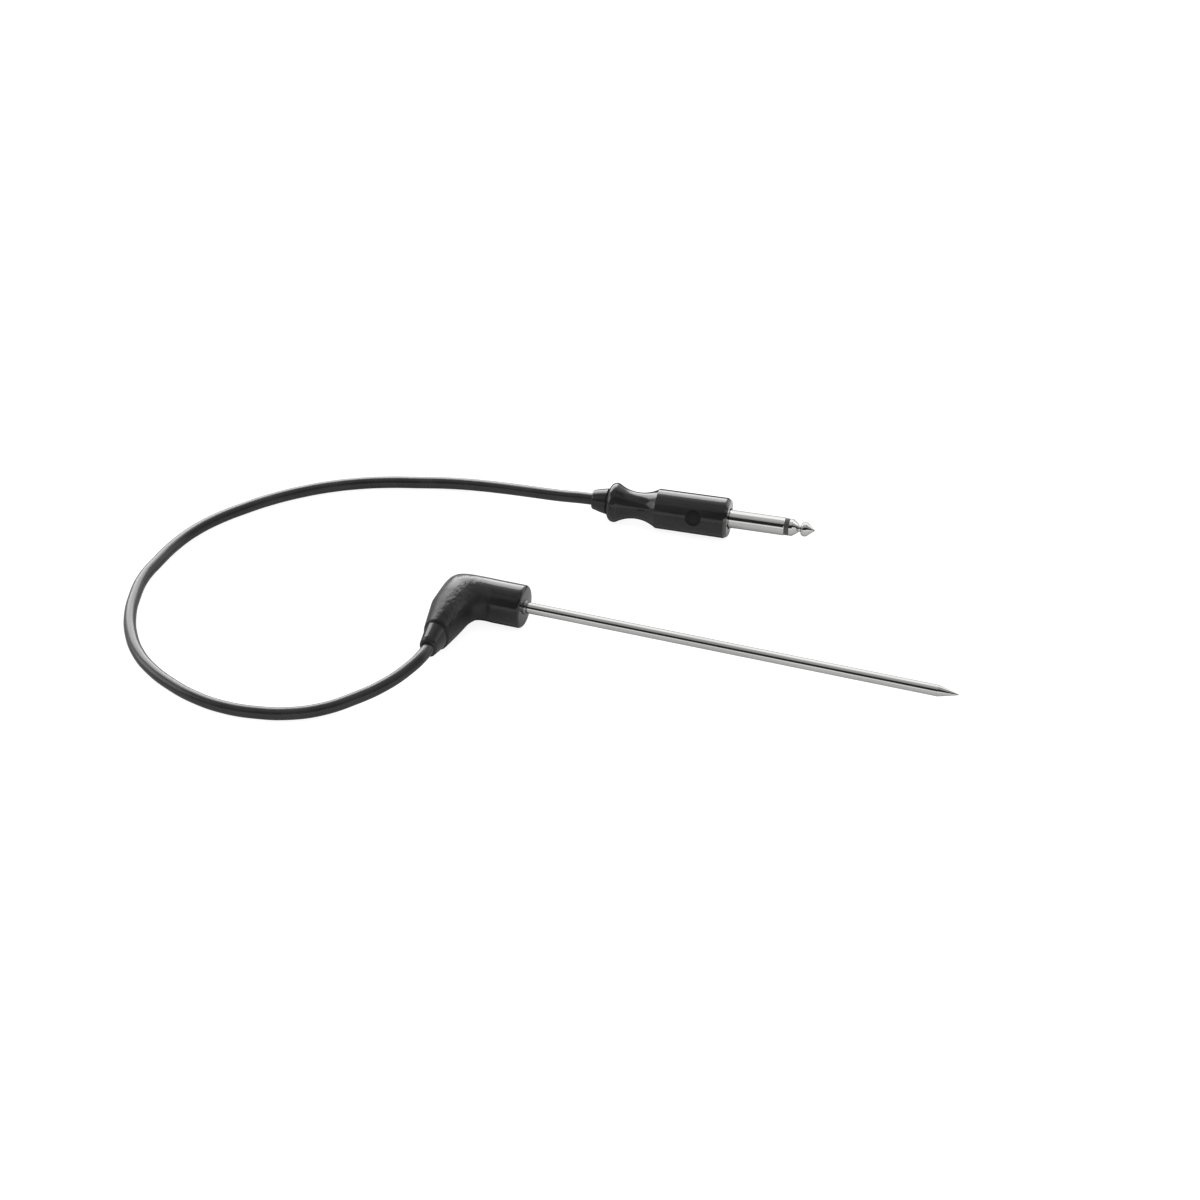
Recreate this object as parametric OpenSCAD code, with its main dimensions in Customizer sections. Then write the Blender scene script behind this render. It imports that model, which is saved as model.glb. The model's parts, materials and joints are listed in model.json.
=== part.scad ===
// Plug-in meat thermometer probe: a pointed steel shaft with a right-angle moulded handle,
// a short cord lying in one open loop, and a 6.35 mm two-pole jack plug with a waisted grip.
// Frame: +X along the shaft towards its point, +Z up, origin on the shaft's axis where the
// bare shaft leaves its collar. Handle, cord and plug lie on the plane z = floor_z.

/* [Shaft] */
// Outer diameter of the shaft tube
shaft_d = 3.8; // [3.4:0.1:4.4]
// Bore of the shaft tube
shaft_bore_d = 3; // [2.8:0.1:3]
// Length of the bare tube in front of the collar
shaft_len = 140; // [100:1:180]
// Length of the pointed tip
tip_len = 7; // [5:0.5:12]
// Diameter of the collar rolled onto the shaft
collar_d = 4.9; // [4.6:0.1:5.4]
// Height of the collar in front of the handle's face
collar_proud = 0.8; // [0.4:0.1:1.5]

/* [Handle] */
// Thickness of the handle, which lies on this diameter
handle_d = 14.7; // [14.3:0.1:15.1]
// Distance from the origin back to the axis of the cord arm
elbow_back = 23.2; // [22.6:0.2:24]
// Distance from the shaft's axis to the end of the cord arm
arm_len = 24.8; // [24:0.2:26]
// Width of the cord arm at its end
arm_end_w = 8.6; // [8.4:0.1:10]
// Squareness of the outer elbow corner
elbow_power = 6.5; // [3:0.1:7]

/* [Strain relief on the handle] */
// Length outside the handle
relief_len = 7; // [6:0.2:9]
// Width and height at the handle
relief_root = [7.8, 11]; // [6:0.2:12]
// Width and height at the cord
relief_end = [5.8, 7.4]; // [5.4:0.2:9]

/* [Cord] */
// Diameter of the cord
cord_d = 4.2; // [4:0.1:4.4]
// Sides of the cord's section
cord_sides = 12; // [8:4:12]

/* [Plug] */
// Point on the plug's axis where the cord enters it
plug_entry = [-0.4, 68.8]; // [-1:0.1:69]
// Angle between the plug's axis and the shaft's
plug_yaw = 4.5; // [3:0.1:6]
// Largest diameter of the grip, at its front
grip_d = 14.3; // [14:0.1:15]
// Diameter of the flare behind the grip's waist
flare_d = 14; // [13:0.1:14]
// Diameter of the waist
waist_d = 9.5; // [9.4:0.1:10.5]
// Length from the cord's entry to the grip's front face
grip_front = 49.4; // [48:0.1:52]
// Diameter of the jack's sleeve
jack_d = 6.35; // [6.35:0.01:6.35]
// Length of the sleeve in front of the grip
sleeve_len = 19.7; // [19:0.1:21]

/* [Hidden] */
$fn = 64;

face_x = -collar_proud;
handle_r = handle_d / 2;
floor_z = -handle_r;
cord_gap = 0.02;

// Shaft
tube_root = -14;
groove_len = 2;
groove_d = 3.4;
tip_plug_len = 4;
bead_d = 2;
bead_x = shaft_len - 8;
potting_len = 12;
lead_d = 0.9;
lead_apart = 0.55;
lead_sleeve_d = 2.6;
lead_sleeve_bore = 2.2;

// Inside of the handle
elbow = [-elbow_back, 0];
core_d = 9.4;
core_arm_d = 6.6;
core_front = -3;
core_end = -19;
anchor_d = 6.4;
anchor_x = -10;
anchor_len = 4;
splice_z = 1.25;
splice_d = 1.5;
splice_start = -3.5;
splice_len = 5;
splice_sleeve_d = 2.3;
splice_sleeve_over = 1;
conductor_d = 1.3;
wire_sides = 8;
wire_room_d = 5.2;
conductor_apart = 0.8;
cord_cut = -14.5;
clamp_d = 5.4;
clamp_len = 2.5;
handle_clamp_y = -18.4;
relief_neck_d = 5.6;
relief_flange_d = 7;
relief_flange_len = 2.5;

// Inside of the plug
flare_s = 8.2;
flare_lip_r = 2.2;
waist_curve_r = 13.1;
body_root_r = 7.02;
front_bevel = 1.2;
mark_d = 5.6;
mark_floor_d = grip_d - 0.6;
mark_s = 37.6;
mark_tilt = 20;
cone_len = 5.3;
cone_small_r = 3.5;
cone_large_r = 4.6;
cone_flange_d = 8;
plug_z = floor_z + grip_d / 2;
plug_core_waist_d = 6.8;
plug_core_body_d = 11.8;
plug_core_step = 24.2;
plug_core_wall = 1;
plug_core_end = 46;
plug_cord_cut = 13;
plug_clamp_s = 10;
jack_root_s = 33;
jack_root_d = 9;
jack_shoulder_d = 7;
jack_recess_d = 7.6;
jack_recess = 0.6;
sleeve_end = grip_front + sleeve_len;
ring_len = 1.6;
tip_d = 6;
rod_d = 2.4;
insulator_d = 4.2;
washer_d = 5;
washer_len = 1.6;
lug_t = 0.6;
sleeve_lug_s = jack_root_s - lug_t;
washer_s = sleeve_lug_s - washer_len;
tip_lug_s = washer_s - lug_t;
rod_end = tip_lug_s - 1;
lug_d = 5;
lug_reach = 3.8;
lug_w = 3;
lug_room_d = 10.4;
solder_d = 2.4;

// The cord's route, as points on its centreline. It leaves the handle level with the shaft,
// sinks onto the surface within the first bend, lies in one loop and rises to the plug.
plug_dir = [cos(plug_yaw), sin(plug_yaw)];
function plug_point(s) = [plug_entry[0] + s * plug_dir[0], plug_entry[1] + s * plug_dir[1], plug_z];
cord_route = concat([
    [-elbow_back, -14.5, 0],
    [-elbow_back, -25, 0],
    [-elbow_back, -35, 0],
    [-25.5, -43, -0.9],
    [-30.25, -51.75, -2.2],
    [-37.5, -60, -3.6],
    [-45.5, -67, -4.6],
    [-55, -72, -5.1],
    [-65.75, -74.75, -5.25],
    [-76.25, -75.5, -5.25],
    [-87.5, -73.75, -5.25],
    [-97.25, -70.25, -5.25],
    [-106.75, -65.25, -5.25],
    [-115, -58.75, -5.25],
    [-122, -50.25, -5.25],
    [-127.25, -40.75, -5.25],
    [-130.75, -30.75, -5.25],
    [-133, -19.5, -5.25],
    [-132.75, -9.25, -5.25],
    [-131.5, 2.25, -5.25],
    [-128.75, 12.5, -5.25],
    [-124.5, 21.5, -5.25],
    [-118.25, 30.75, -5.25],
    [-111.75, 38.75, -5.25],
    [-103.75, 46.5, -5.25],
    [-95.25, 53, -5.25],
    [-85.75, 58.5, -5.25],
    [-75.75, 62.75, -5.25],
    [-65.75, 65.75, -5.15],
    [-55.5, 68.5, -4.95],
    [-45, 69.75, -4.35],
    [-34, 69.75, -3.35],
    [-23.5, 69, -2.15],
    [-12.75, 68.4, -1.05]
], [for (s = [-3, 6, plug_cord_cut]) plug_point(s)]);

// ---- shared shapes ----

// A rod along X from x0 to x1
module rod_x(x0, x1, d) {
    translate([x0, 0, 0]) rotate([0, 90, 0]) cylinder(h = x1 - x0, d = d);
}

// A rod along Y from y0 to y1, on the cord arm's axis
module rod_y(y0, y1, d) {
    translate([elbow[0], y0, 0]) rotate([-90, 0, 0]) cylinder(h = y1 - y0, d = d);
}

// A turned shape along X from a list of [station, radius] points
module turned(profile) {
    rotate([90, 0, 90]) rotate_extrude() polygon([for (p = profile) [p[1], p[0]]]);
}

// Places what follows on the plug's axis, with +X from the cord towards the jack's tip
module on_plug() {
    translate([plug_entry[0], plug_entry[1], plug_z]) rotate([0, 0, plug_yaw]) children();
}

// ---- lofts of rings: the handle's skin, the cord and the wires ----

// One oval ring: centre, sideways unit vector, half width, half height
function ring_points(c, side, w, h, sides) = [
    for (i = [0 : sides - 1])
        let (a = 360 * i / sides, u = w * cos(a))
            [c[0] + side[0] * u, c[1] + side[1] * u, c[2] + h * sin(a)]
];

// Skins a list of rings that all have the same number of points
module skin_rings(rings) {
    n = len(rings[0]);
    m = len(rings);
    walls = [
        for (k = [0 : m - 2]) for (i = [0 : n - 1])
            [k * n + i, k * n + (i + 1) % n, (k + 1) * n + (i + 1) % n, (k + 1) * n + i]
    ];
    ends = [[for (i = [n - 1 : -1 : 0]) i], [for (i = [0 : n - 1]) (m - 1) * n + i]];
    polyhedron(points = [for (r = rings) each r], faces = concat(walls, ends));
}

function unit(v) = v / norm(v);
function route_dir(route, i) = unit(route[min(i + 1, len(route) - 1)] - route[max(i - 1, 0)]);
// A round section across a route at its point i
function route_ring(route, i, r, sides) =
    let (side = unit(cross(route_dir(route, i), [0, 0, 1])),
         up = cross(side, route_dir(route, i)))
        [for (k = [0 : sides - 1])
            let (a = 360 * k / sides) route[i] + r * (cos(a) * side + sin(a) * up)];

// A round cord or wire along a route of points
module swept(route, d, sides) {
    skin_rings([for (i = [0 : len(route) - 1]) route_ring(route, i, d / 2, sides)]);
}

// ---- shaft ----

module shaft_tube() {
    color("silver") difference() {
        rod_x(tube_root, shaft_len, shaft_d);
        rod_x(tube_root - 1, shaft_len + 1, shaft_bore_d);
        difference() {
            rod_x(-groove_len, 0, shaft_d + 1);
            rod_x(-groove_len - 1, 1, groove_d);
        }
    }
}

module shaft_tip() {
    color("silver") turned([
        [shaft_len - tip_plug_len, 0],
        [shaft_len - tip_plug_len, shaft_bore_d / 2],
        [shaft_len, shaft_bore_d / 2],
        [shaft_len, shaft_d / 2],
        [shaft_len + tip_len - 0.3, 0.15],
        [shaft_len + tip_len, 0]
    ]);
}

module shaft_collar() {
    color("gainsboro") difference() {
        turned([
            [-groove_len, 0], [-groove_len, collar_d / 2], [-0.2, collar_d / 2],
            [0, collar_d / 2 - 0.2], [0, 0]
        ]);
        rod_x(-groove_len - 1, 1, groove_d);
    }
}

module bead_shape() {
    translate([bead_x, 0, 0]) sphere(d = bead_d);
}

module thermistor_bead() {
    color("saddlebrown") bead_shape();
}

// Both leads run from the bead through the tube, spread, and turn down the cord arm
function lead_route(side) = [
    [bead_x - bead_d / 2, 0, side * lead_apart],
    [tube_root - 0.5, 0, side * lead_apart],
    [tube_root - 3, 0, side * splice_z],
    [elbow[0] + 2, 0, side * splice_z],
    [elbow[0] + 0.6, -0.6, side * splice_z],
    [elbow[0], -2, side * splice_z],
    [elbow[0], splice_start, side * splice_z]
];

module tip_potting() {
    color("dimgray") difference() {
        rod_x(shaft_len - tip_plug_len - potting_len, shaft_len - tip_plug_len, shaft_bore_d);
        bead_shape();
        for (side = [-1, 1])
            translate([0, 0, side * lead_apart]) rod_x(tube_root, bead_x - 0.5, lead_d);
    }
}

module lead_sleeve() {
    color("khaki") difference() {
        rod_x(tube_root + 1, shaft_len - tip_plug_len - potting_len, lead_sleeve_d);
        rod_x(tube_root, shaft_len, lead_sleeve_bore);
    }
}

module sensor_leads() {
    color("ivory") for (side = [-1, 1]) swept(lead_route(side), lead_d, wire_sides);
}

// ---- handle ----

module anchor_shape() {
    rod_x(anchor_x, anchor_x + anchor_len, anchor_d);
}

module tube_anchor() {
    color("silver") difference() {
        anchor_shape();
        rod_x(anchor_x - 1, anchor_x + anchor_len + 1, shaft_d);
    }
}

module splice_barrels() {
    color("goldenrod") for (side = [-1, 1])
        translate([0, 0, side * splice_z])
            rod_y(splice_start - splice_len, splice_start, splice_d);
}

module splice_sleeve_shapes() {
    for (side = [-1, 1])
        translate([0, 0, side * splice_z])
            rod_y(splice_start - splice_len - splice_sleeve_over,
                  splice_start + splice_sleeve_over, splice_sleeve_d);
}

module splice_sleeves() {
    color("black") difference() {
        splice_sleeve_shapes();
        for (side = [-1, 1])
            translate([0, 0, side * splice_z])
                rod_y(splice_start - splice_len - 2, splice_start + 2, splice_d);
    }
}

function handle_conductor_route(side) = [
    [elbow[0], splice_start - splice_len, side * splice_z],
    [elbow[0], splice_start - splice_len - 2, side * splice_z],
    [elbow[0], cord_cut + 1.5, side * conductor_apart],
    [elbow[0], cord_cut, side * conductor_apart]
];

module handle_conductors() {
    color("firebrick")
        for (side = [-1, 1]) swept(handle_conductor_route(side), conductor_d, wire_sides);
}

module handle_clamp_shape() {
    rod_y(handle_clamp_y, handle_clamp_y + clamp_len, clamp_d);
}

module handle_cord_clamp() {
    color("silver") difference() {
        handle_clamp_shape();
        rod_y(handle_clamp_y - 1, handle_clamp_y + clamp_len + 1, cord_d + 2 * cord_gap);
    }
}

// The L-shaped inner moulding that locks shaft, splices and cord together
module handle_core_shape() {
    rod_x(elbow[0] + 2, core_front, core_d);
    rod_y(core_end, 0.8, core_arm_d);
}

module handle_core() {
    color("darkslategray") difference() {
        handle_core_shape();
        rod_x(tube_root - 1, core_front + 1, shaft_d);
        anchor_shape();
        rod_x(elbow[0] - 1, tube_root, wire_room_d);
        rod_y(cord_cut, 0, wire_room_d - 0.2);
        handle_clamp_shape();
        rod_y(core_end - 1, cord_cut + 1, cord_d + 2 * cord_gap);
    }
}

module relief_root_shape() {
    rod_y(core_end - relief_flange_len, core_end, relief_flange_d);
    rod_y(-arm_len, core_end, relief_neck_d);
}

// Handle skin: the pivot is the point in the inner corner that the elbow's rings turn about
pivot = [-11.2, -10.6];
elbow_steps = 10;
shell_sides = 40;
arm_root_w = 14.1;
arm_root_shift = 0.2;
arm_flattening = 1.35;
face_round = 1.2;
arm_end_round = 1.1;
arm_run = arm_len + pivot[1];
outer_x = pivot[0] + elbow_back + arm_root_shift + arm_root_w / 2;
outer_y = handle_r - pivot[1];
inner_x = pivot[0] + elbow_back + arm_root_shift - arm_root_w / 2;
inner_y = -handle_r - pivot[1];
function elbow_outer(a) =
    pow(pow(cos(a) / outer_y, elbow_power) + pow(sin(a) / outer_x, elbow_power), -1 / elbow_power);
function elbow_inner(a) = inner_y + (inner_x - inner_y) * a / 90;
// A ring across the shaft arm at station x, shrunk by the rounding e
function shaft_arm_ring(x, e) =
    ring_points([x, 0, 0], [0, 1], handle_r - e, handle_r - e, shell_sides);
function elbow_ring(a) =
    let (near = elbow_inner(a), far = elbow_outer(a), mid = (near + far) / 2)
        ring_points([pivot[0] - mid * sin(a), pivot[1] + mid * cos(a), 0],
                    [-sin(a), cos(a)], (far - near) / 2, handle_r, shell_sides);
// A ring across the cord arm, where t runs from 0 at the elbow to 1 at the arm's end
function cord_arm_ring(t, e) =
    ring_points([-elbow_back - arm_root_shift * (1 - t), pivot[1] - arm_run * t, 0], [-1, 0],
                (arm_root_w + (arm_end_w - arm_root_w) * t) / 2 - e,
                handle_r - arm_flattening * t * t - e, shell_sides);

module handle_skin() {
    skin_rings(concat(
        [for (a = [0 : 22.5 : 90])
            shaft_arm_ring(face_x - face_round * (1 - cos(a)), face_round * (1 - sin(a)))],
        [for (k = [0 : elbow_steps]) elbow_ring(90 * k / elbow_steps)],
        [for (t = [0.33, 0.66]) cord_arm_ring(t, 0)],
        [cord_arm_ring(1 - arm_end_round / arm_run, 0),
         cord_arm_ring(1 - 0.35 / arm_run, arm_end_round * 0.3),
         cord_arm_ring(1, arm_end_round)]
    ));
}

module handle_shell() {
    color([0.06, 0.06, 0.07]) difference() {
        handle_skin();
        handle_core_shape();
        rod_x(core_front - 1, 1, shaft_d);
        rod_x(-groove_len, 1, collar_d);
        relief_root_shape();
    }
}

// A thin oval plate across the cord arm's axis
module oval_plate(y, size) {
    translate([elbow[0], y, 0])
        rotate([90, 0, 0])
            linear_extrude(0.1)
                resize(size) circle(d = 10, $fn = 32);
}

module handle_strain_relief() {
    color([0.06, 0.06, 0.07]) difference() {
        union() {
            hull() {
                oval_plate(-arm_len, relief_root);
                oval_plate(-arm_len - relief_len + 0.6, relief_end);
                oval_plate(-arm_len - relief_len + 0.1, relief_end - [1, 1]);
            }
            relief_root_shape();
        }
        rod_y(-arm_len - relief_len - 1, core_end + 1, cord_d + 2 * cord_gap);
    }
}

// ---- cord ----

module cord() {
    color([0.1, 0.1, 0.11]) swept(cord_route, cord_d, cord_sides);
}

// ---- plug, drawn along its own axis ----

flare_r = flare_d / 2;
lip_r = flare_r - flare_lip_r;
curve_r = waist_d / 2 + waist_curve_r;
curve_s = flare_s + sqrt(pow(waist_curve_r + flare_lip_r, 2) - pow(curve_r - lip_r, 2));
tangent_a = atan2(curve_r - lip_r, curve_s - flare_s);
body_s = curve_s + sqrt(pow(waist_curve_r, 2) - pow(curve_r - body_root_r, 2));
body_a = atan2(curve_r - body_root_r, body_s - curve_s);

// Points on an arc in the turned profile
function arc(s, r, radius, a0, a1, steps) = [
    for (i = [0 : steps])
        let (a = a0 + (a1 - a0) * i / steps) [s + radius * cos(a), r + radius * sin(a)]
];

grip_profile = concat(
    [[cone_len, 0], [cone_len, cone_large_r - 0.25]],
    arc(flare_s, lip_r, flare_lip_r, 165, tangent_a, 9),
    arc(curve_s, curve_r, waist_curve_r, 180 + tangent_a, 360 - body_a, 14),
    [[grip_front - front_bevel - 0.2, grip_d / 2],
     [grip_front - front_bevel + 0.3, grip_d / 2 - 0.15],
     [grip_front - 0.2, grip_d / 2 - front_bevel],
     [grip_front, grip_d / 2 - front_bevel - 0.3],
     [grip_front, 0]]
);

module plug_relief_root_shape() {
    rod_x(cone_len, cone_len + 2.2, 6);
    rod_x(cone_len + 2.2, cone_len + 4.2, cone_flange_d);
}

module plug_core_shape() {
    rod_x(cone_len + 4.2, plug_core_step, plug_core_waist_d);
    rod_x(plug_core_step, plug_core_end, plug_core_body_d);
}

// A plain round recess whose floor follows the grip's curve
module mark_recess() {
    difference() {
        rotate([90 - mark_tilt, 0, 0])
            translate([mark_s, 0, grip_d / 2 - 2])
                cylinder(h = 4, d = mark_d);
        rod_x(0, grip_front, mark_floor_d);
    }
}

module plug_grip() {
    color([0.06, 0.06, 0.07]) on_plug() difference() {
        turned(grip_profile);
        plug_relief_root_shape();
        plug_core_shape();
        rod_x(plug_core_end - 1, grip_front + 1, jack_shoulder_d);
        rod_x(grip_front - jack_recess, grip_front + 1, jack_recess_d);
        mark_recess();
    }
}

module plug_strain_relief() {
    color([0.06, 0.06, 0.07]) on_plug() difference() {
        union() {
            turned([
                [0, 0], [0, cone_small_r - 0.8], [0.3, cone_small_r - 0.2], [0.9, cone_small_r],
                [cone_len, cone_large_r], [cone_len, 0]
            ]);
            plug_relief_root_shape();
        }
        rod_x(-1, cone_len + 5, cord_d + 2 * cord_gap);
    }
}

module plug_clamp_shape() {
    rod_x(plug_clamp_s, plug_clamp_s + clamp_len, clamp_d);
}

module plug_cord_clamp() {
    color("silver") on_plug() difference() {
        plug_clamp_shape();
        rod_x(plug_clamp_s - 1, plug_clamp_s + clamp_len + 1, cord_d + 2 * cord_gap);
    }
}

// Each conductor runs from the cord's cut end to the solder on its own lug
function plug_conductor_route(joint_s, side) = [
    [plug_cord_cut, 0, side * conductor_apart],
    [plug_cord_cut + 1.5, 0, side * conductor_apart],
    [plug_core_step + 0.8, 0, side * (conductor_apart + 0.4)],
    [plug_core_step + 2.8, 0, side * lug_reach],
    [joint_s - solder_d, 0, side * lug_reach]
];

module plug_conductors() {
    color("firebrick") on_plug() {
        swept(plug_conductor_route(tip_lug_s, 1), conductor_d, wire_sides);
        swept(plug_conductor_route(sleeve_lug_s, -1), conductor_d, wire_sides);
    }
}

module solder_on(joint_s, side) {
    translate([0, 0, side * lug_reach]) rod_x(joint_s - solder_d, joint_s, solder_d);
}

module solder_joints() {
    color("lightgray") on_plug() {
        solder_on(tip_lug_s, 1);
        solder_on(sleeve_lug_s, -1);
    }
}

// A lug: a disc round the rod with a tongue that reaches towards one side
module lug_shape(s, side, hole) {
    difference() {
        union() {
            rod_x(s, s + lug_t, lug_d);
            translate([s, -lug_w / 2, min(0, side * (lug_reach + 0.6))])
                cube([lug_t, lug_w, lug_reach + 0.6]);
        }
        rod_x(s - 1, s + lug_t + 1, hole);
    }
}

module jack_sleeve_lug() {
    color("goldenrod") on_plug() lug_shape(sleeve_lug_s, -1, insulator_d);
}

module jack_tip_lug() {
    color("goldenrod") on_plug() lug_shape(tip_lug_s, 1, rod_d);
}

module jack_rear_washer() {
    color([0.15, 0.15, 0.16]) on_plug() difference() {
        rod_x(washer_s, washer_s + washer_len, washer_d);
        rod_x(washer_s - 1, washer_s + washer_len + 1, rod_d);
    }
}

module jack_body_shape() {
    rod_x(jack_root_s, plug_core_end, jack_root_d);
    rod_x(plug_core_end - 1, grip_front - jack_recess, jack_shoulder_d);
}

module jack_sleeve() {
    color("gainsboro") on_plug() difference() {
        union() {
            jack_body_shape();
            rod_x(grip_front - jack_recess - 1, sleeve_end, jack_d);
        }
        rod_x(jack_root_s - 1, sleeve_end + 1, insulator_d);
    }
}

module jack_insulator_ring() {
    color([0.15, 0.15, 0.16]) on_plug() difference() {
        rod_x(sleeve_end, sleeve_end + ring_len, tip_d);
        rod_x(sleeve_end - 1, sleeve_end + ring_len + 1, rod_d);
    }
}

module jack_insulator_tube() {
    color("ivory") on_plug() difference() {
        rod_x(sleeve_lug_s, sleeve_end, insulator_d);
        rod_x(sleeve_lug_s - 1, sleeve_end + 1, rod_d);
    }
}

tip_s = sleeve_end + ring_len;
tip_shape_len = 8.9;
module jack_tip() {
    color("gainsboro") on_plug() turned(concat(
        [[rod_end, 0], [rod_end, rod_d / 2], [tip_s, rod_d / 2], [tip_s, tip_d / 2 - 0.1],
         [tip_s + 0.15, tip_d / 2], [tip_s + 1.1, tip_d / 2],
         [tip_s + 1.4, tip_d / 2 - 0.2], [tip_s + 3.1, 1.6]],
        arc(tip_s + 3.7, 1.8, 0.6, 215, 310, 4),
        arc(tip_s + 5.5, 0.9, 1.65, 140, 55, 6),
        [[tip_s + tip_shape_len - 0.4, 0.6], [tip_s + tip_shape_len - 0.1, 0.3],
         [tip_s + tip_shape_len, 0]]
    ));
}

module plug_core() {
    color("darkslategray") on_plug() difference() {
        plug_core_shape();
        rod_x(cone_len, plug_cord_cut + 1, cord_d + 2 * cord_gap);
        plug_clamp_shape();
        rod_x(plug_cord_cut, plug_core_step + plug_core_wall + 1, wire_room_d - 0.4);
        rod_x(plug_core_step + plug_core_wall, jack_root_s, lug_room_d);
        rod_x(jack_root_s - 1, plug_core_end + 1, jack_root_d);
    }
}

shaft_tube();
shaft_tip();
shaft_collar();
thermistor_bead();
tip_potting();
lead_sleeve();
sensor_leads();
tube_anchor();
handle_core();
handle_shell();
splice_barrels();
splice_sleeves();
handle_conductors();
handle_cord_clamp();
handle_strain_relief();
cord();
plug_strain_relief();
plug_grip();
plug_core();
plug_cord_clamp();
plug_conductors();
jack_sleeve();
jack_insulator_ring();
jack_insulator_tube();
jack_rear_washer();
jack_sleeve_lug();
jack_tip();
jack_tip_lug();
solder_joints();
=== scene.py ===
"""Looks of a plug-in meat thermometer probe: steel shaft, right-angle handle, cord and jack plug.

Lengths are in millimetres and become metres where a mesh or curve is made. The frame is the
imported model's: +X along the shaft to its point, +Z up, origin where the bare shaft begins.
"""
import json
import math

import bmesh
import bpy
from mathutils import Matrix, Vector, noise


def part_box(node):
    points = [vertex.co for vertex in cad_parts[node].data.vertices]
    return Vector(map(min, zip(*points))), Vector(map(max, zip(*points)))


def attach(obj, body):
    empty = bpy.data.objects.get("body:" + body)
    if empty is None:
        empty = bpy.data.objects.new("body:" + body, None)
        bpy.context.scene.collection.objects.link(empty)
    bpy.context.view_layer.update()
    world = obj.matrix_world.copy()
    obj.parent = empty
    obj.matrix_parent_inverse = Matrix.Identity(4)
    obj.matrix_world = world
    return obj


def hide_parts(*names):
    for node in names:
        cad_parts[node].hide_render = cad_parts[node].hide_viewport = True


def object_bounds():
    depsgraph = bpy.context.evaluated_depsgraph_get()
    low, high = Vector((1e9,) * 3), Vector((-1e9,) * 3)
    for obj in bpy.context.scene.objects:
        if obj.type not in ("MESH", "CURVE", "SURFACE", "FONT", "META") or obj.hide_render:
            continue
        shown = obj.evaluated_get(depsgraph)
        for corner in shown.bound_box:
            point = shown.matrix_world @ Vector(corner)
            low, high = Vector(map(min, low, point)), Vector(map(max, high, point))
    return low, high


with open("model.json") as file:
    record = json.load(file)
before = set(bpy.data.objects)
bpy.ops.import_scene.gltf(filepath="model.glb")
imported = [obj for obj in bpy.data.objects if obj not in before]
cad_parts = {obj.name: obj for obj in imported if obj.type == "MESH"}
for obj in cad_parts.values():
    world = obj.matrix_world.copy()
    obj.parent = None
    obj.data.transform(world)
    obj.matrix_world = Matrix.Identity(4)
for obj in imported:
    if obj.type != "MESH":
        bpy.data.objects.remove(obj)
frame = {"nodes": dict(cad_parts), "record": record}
cad_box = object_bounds()

MM = 0.001
BODY = "root"


def mm_box(node):
    """A CAD node's lowest and highest corners, in millimetres."""
    low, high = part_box(node)
    return low / MM, high / MM


# ---- sizes that come from the frame ----

tube_low, tube_high = mm_box("shaft_tube")
tip_low, tip_high = mm_box("shaft_tip")
collar_high = mm_box("shaft_collar")[1]
shell_low, shell_high = mm_box("handle_shell")
relief_low = mm_box("handle_strain_relief")[0]
grip_low = mm_box("plug_grip")[0]
jack_mount = next(m for m in frame["record"]["mounts"] if m["name"] == "jack_sleeve")

SHAFT_R = tube_high.z
SHAFT_END = tube_high.x
FLOOR_Z = min(shell_low.z, grip_low.z)
HANDLE_R = -FLOOR_Z
FACE_X = shell_high.x

# ---- handle: the L-shaped moulding over the end of the shaft ----

ELBOW_BACK = 23.2        # from the origin back to the cord arm's axis
ARM_LEN = -shell_low.y   # from the shaft's axis to the end of the cord arm
ARM_ROOT_W = 14.1
ARM_ROOT_SHIFT = 0.2
ARM_END_W = 8.6
ARM_FLATTENING = 1.35
PIVOT = Vector((-11.2, -10.6))
ELBOW_POWER = 6.5
FACE_ROUND = 1.2
ARM_END_ROUND = 1.1

# ---- strain relief on the handle ----

RELIEF_ROOT = (7.8, 11.0)
RELIEF_END = (5.8, 7.4)
RELIEF_ROUND = 0.7

# ---- cord ----

CORD_D = 4.2
CORD_GAP = 0.02

# ---- plug, in stations along its axis from where the cord enters ----

GRIP_FRONT = 49.4
PLUG_AXIS = Vector(jack_mount["axis"]).normalized()
PLUG_ENTRY = Vector(jack_mount["pos_m"]) / MM - GRIP_FRONT * PLUG_AXIS
GRIP_R = 7.15
CONE_LEN = 5.3


def plug_point(station):
    """A point on the plug's axis."""
    return tuple(PLUG_ENTRY + station * PLUG_AXIS)


# The cord's route, the same as in the CAD model
CORD_ROUTE = [
    (-ELBOW_BACK, -14.5, 0),
    (-ELBOW_BACK, -25, 0),
    (-ELBOW_BACK, -35, 0),
    (-25.5, -43, -0.9),
    (-30.25, -51.75, -2.2),
    (-37.5, -60, -3.6),
    (-45.5, -67, -4.6),
    (-55, -72, -5.1),
    (-65.75, -74.75, -5.25),
    (-76.25, -75.5, -5.25),
    (-87.5, -73.75, -5.25),
    (-97.25, -70.25, -5.25),
    (-106.75, -65.25, -5.25),
    (-115, -58.75, -5.25),
    (-122, -50.25, -5.25),
    (-127.25, -40.75, -5.25),
    (-130.75, -30.75, -5.25),
    (-133, -19.5, -5.25),
    (-132.75, -9.25, -5.25),
    (-131.5, 2.25, -5.25),
    (-128.75, 12.5, -5.25),
    (-124.5, 21.5, -5.25),
    (-118.25, 30.75, -5.25),
    (-111.75, 38.75, -5.25),
    (-103.75, 46.5, -5.25),
    (-95.25, 53, -5.25),
    (-85.75, 58.5, -5.25),
    (-75.75, 62.75, -5.25),
    (-65.75, 65.75, -5.15),
    (-55.5, 68.5, -4.95),
    (-45, 69.75, -4.35),
    (-34, 69.75, -3.35),
    (-23.5, 69, -2.15),
    (-12.75, 68.4, -1.05),
    plug_point(-3),
    plug_point(6),
    plug_point(13),
]


# ---- camera ----

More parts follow.
